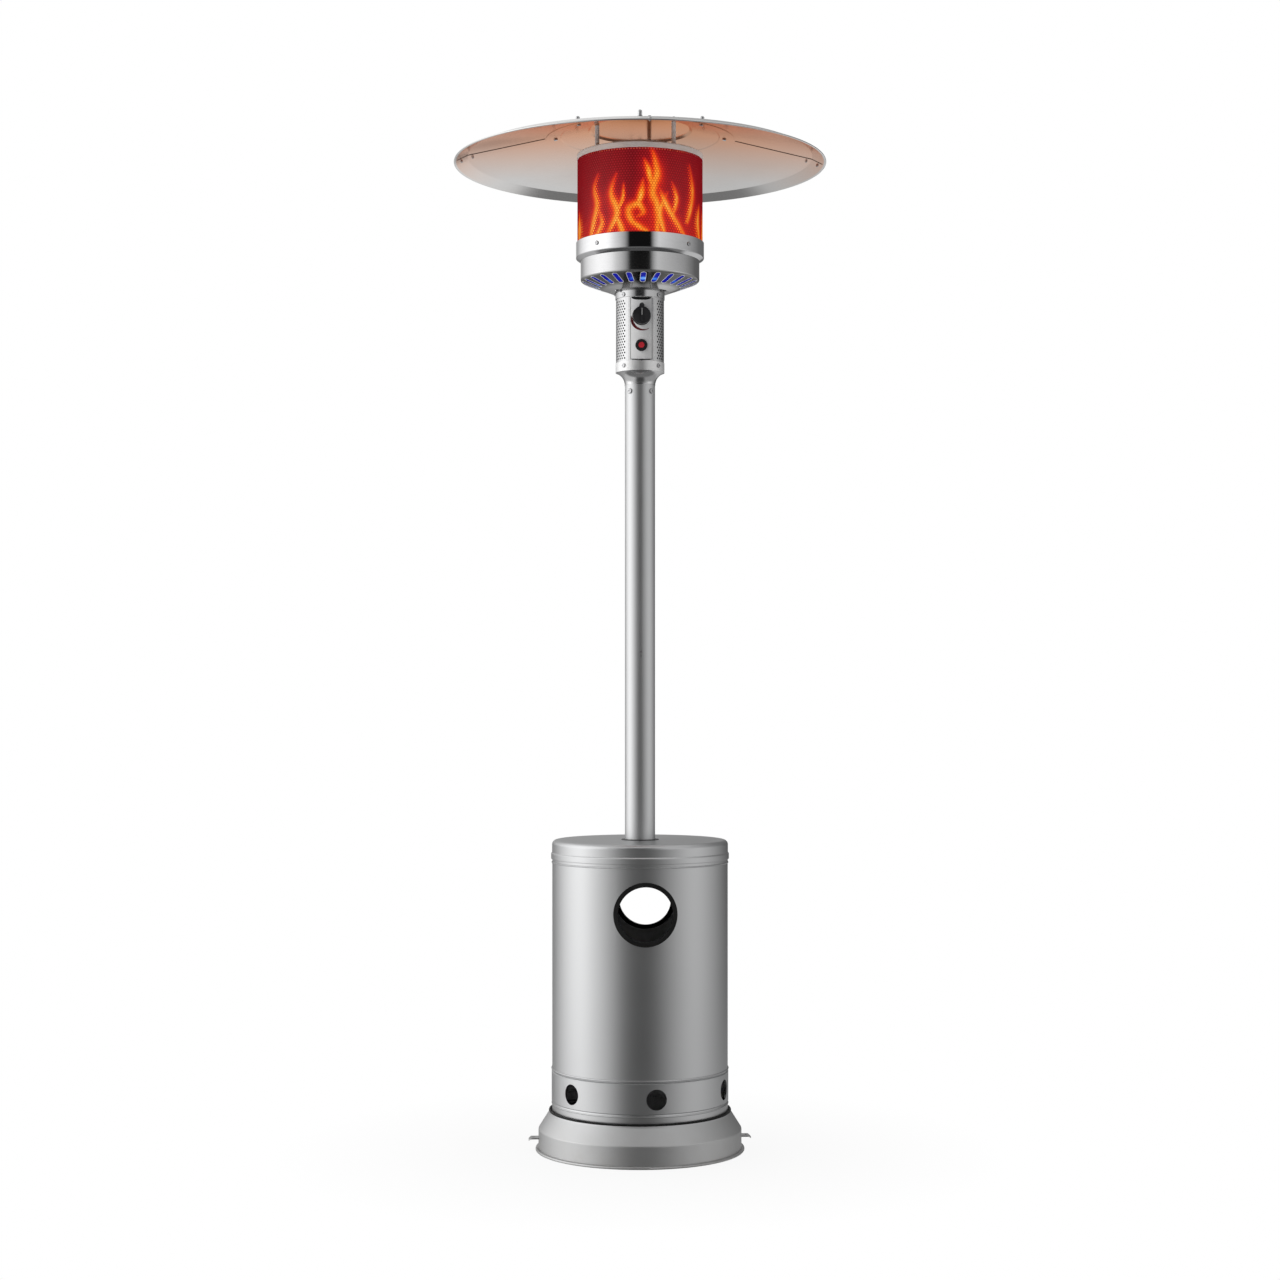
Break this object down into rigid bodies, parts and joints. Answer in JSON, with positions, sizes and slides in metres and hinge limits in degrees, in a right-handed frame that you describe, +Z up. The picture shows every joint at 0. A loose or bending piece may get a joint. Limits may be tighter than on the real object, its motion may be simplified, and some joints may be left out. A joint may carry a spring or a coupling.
{
  "type": "outdoor heater",
  "caption": "Free-standing gas patio heater: round base, lift-up bottle housing, slim pole, glowing mesh emitter and wide dished reflector.",
  "frame": {"origin": "on the ground at the middle of the round base", "axes": "+Z up along the pole; the front with the knob and the front access hole faces -Y"},
  "size_m": [0.8128, 0.8128, 2.2435],
  "materials": {
    "silver": "satin silver hammer-fine powder coat",
    "zinc": "zinc-plated steel",
    "screw": "plated steel fasteners",
    "chrome": "polished stainless steel",
    "brushed": "satin stainless steel",
    "brass": "machined brass",
    "black_plastic": "black heat-proof plastic",
    "red_plastic": "red push button",
    "rubber": "black rubber",
    "ceramic": "glazed ceramic insulator",
    "hot_screen": "perforated stainless screen, glowing red when lit",
    "aluminium": "bright rolled aluminium"
  },
  "bodies": {
    "stand": {"base_pan": "silver", "base_brace": "zinc", "anchor_lugs": "silver", "support_leg_1": "zinc", "support_leg_2": "zinc", "support_leg_3": "zinc", "leg_foot_bolts": "screw", "leg_top_bolts": "screw", "pole_flange": "zinc", "pole_lower": "silver", "pole_upper": "silver", "pole_joint_sleeve": "zinc", "pole_joint_rivet": "silver", "neck_flare": "chrome", "neck_screws": "screw", "control_housing": "brushed", "head_ring_lower": "brushed", "head_ring_upper": "brushed", "head_ring_screws": "screw", "control_plate": "brushed", "gas_valve": "brass", "igniter_bezel": "black_plastic", "piezo_igniter": "black_plastic", "tilt_switch": "black_plastic", "gas_feed_tube": "zinc", "gas_inlet_fitting": "brass", "pilot_tube": "zinc", "thermocouple": "brass", "spark_lead": "rubber", "pilot_burner": "zinc", "spark_electrode": "ceramic", "gas_injector": "brass", "mixing_tube": "zinc", "burner_head": "zinc", "burner_bowl": "chrome", "bowl_bolts": "screw", "burner_collar": "chrome", "collar_screws": "screw", "emitter_tray": "zinc", "emitter_screen": "hot_screen", "emitter_cap": "brushed", "reflector_studs": "aluminium", "stud_nuts": "screw", "reflector_centre": "aluminium", "reflector_panel_1": "aluminium", "reflector_panel_2": "aluminium", "reflector_panel_3": "aluminium", "reflector_panel_4": "aluminium", "reflector_bolts": "screw", "reflector_seam_screws": "screw"},
    "bottle_housing": {"housing_shell": "silver", "housing_lid": "silver", "pole_grommet": "black_plastic", "access_trim_front": "rubber", "access_trim_rear": "rubber"},
    "valve_rotor": {"valve_plug": "brass"},
    "knob": {"control_knob": "black_plastic", "valve_stem": "brass"},
    "button": {"igniter_button": "red_plastic"}
  },
  "joints": [
    {"name": "housing_lift", "type": "slide", "parent": "stand", "child": "bottle_housing", "axis": [0, 0, 1], "range_m": [0, 0.6]},
    {"name": "knob_turn", "type": "hinge", "parent": "stand", "child": "valve_rotor", "pos_m": [0, -0.03, 1.815], "axis": [0, -1, 0], "range_deg": [0, 210]},
    {"name": "knob_push", "type": "slide", "parent": "valve_rotor", "child": "knob", "axis": [0, 1, 0], "range_m": [0, 0.004], "stiffness_N_per_m": 1500, "springref_m": -0.003},
    {"name": "igniter_push", "type": "slide", "parent": "stand", "child": "button", "axis": [0, 1, 0], "range_m": [0, 0.005], "stiffness_N_per_m": 1500, "springref_m": -0.003}
  ]
}
